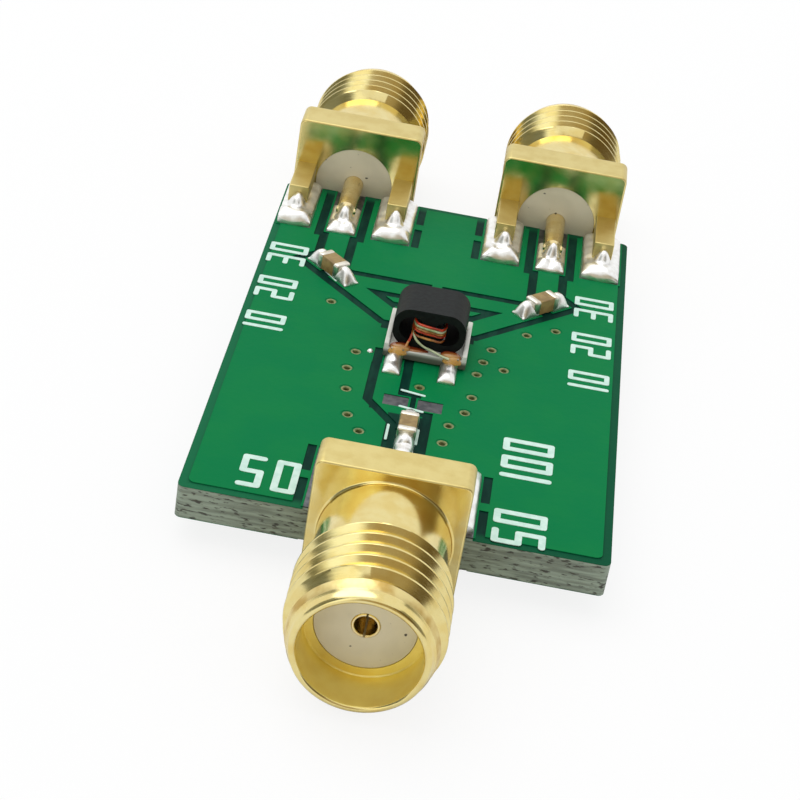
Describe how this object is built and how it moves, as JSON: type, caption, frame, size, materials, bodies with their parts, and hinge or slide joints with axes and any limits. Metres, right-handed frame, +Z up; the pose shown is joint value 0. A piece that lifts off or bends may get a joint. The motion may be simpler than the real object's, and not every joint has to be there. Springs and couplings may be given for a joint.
{
  "type": "rf balun",
  "caption": "Small circuit board with a wound transformer and chip capacitors between coaxial edge connectors, which turns an unbalanced line into a balanced one.",
  "frame": {"origin": "middle of the bounding box's base, below the middle of the board, on the plane that the undersides of the three flanges lie in", "axes": "+X to the right, +Y from the single connector to the pair, +Z up from the board's underside to the side with the parts"},
  "size_m": [0.018, 0.0478, 0.0063],
  "materials": {
    "laminate": "satin",
    "copper": "satin",
    "solder_mask": "glossy",
    "gold": "satin",
    "insulator": "matt",
    "contact": "polished",
    "solder": "bright",
    "capacitor": "satin",
    "capacitor_end": "satin",
    "base": "satin",
    "ferrite": "satin",
    "wire_red": "glossy",
    "wire_green": "glossy",
    "wire_copper": "glossy",
    "terminal": "satin",
    "varnish": "glossy"
  },
  "bodies": {
    "root": {"laminate": "laminate", "copper_top": "copper", "copper_underside": "copper", "solder_mask_top": "solder_mask", "solder_mask_underside": "solder_mask", "via_plating": "copper", "front_connector_body": "gold", "front_connector_insulator": "insulator", "front_connector_contact": "contact", "front_connector_solder": "solder", "rear_left_connector_body": "gold", "rear_left_connector_insulator": "insulator", "rear_left_connector_contact": "contact", "rear_left_connector_solder": "solder", "rear_right_connector_body": "gold", "rear_right_connector_insulator": "insulator", "rear_right_connector_contact": "contact", "rear_right_connector_solder": "solder", "front_capacitor_ceramic": "capacitor", "front_capacitor_ends": "capacitor_end", "front_capacitor_solder": "solder", "rear_left_capacitor_ceramic": "capacitor", "rear_left_capacitor_ends": "capacitor_end", "rear_left_capacitor_solder": "solder", "rear_right_capacitor_ceramic": "capacitor", "rear_right_capacitor_ends": "capacitor_end", "rear_right_capacitor_solder": "solder", "transformer_base": "base", "transformer_core": "ferrite", "transformer_wire_red": "wire_red", "transformer_wire_green": "wire_green", "transformer_wire_copper": "wire_copper", "transformer_terminals": "terminal", "transformer_varnish": "varnish", "transformer_solder": "solder"}
  },
  "joints": []
}
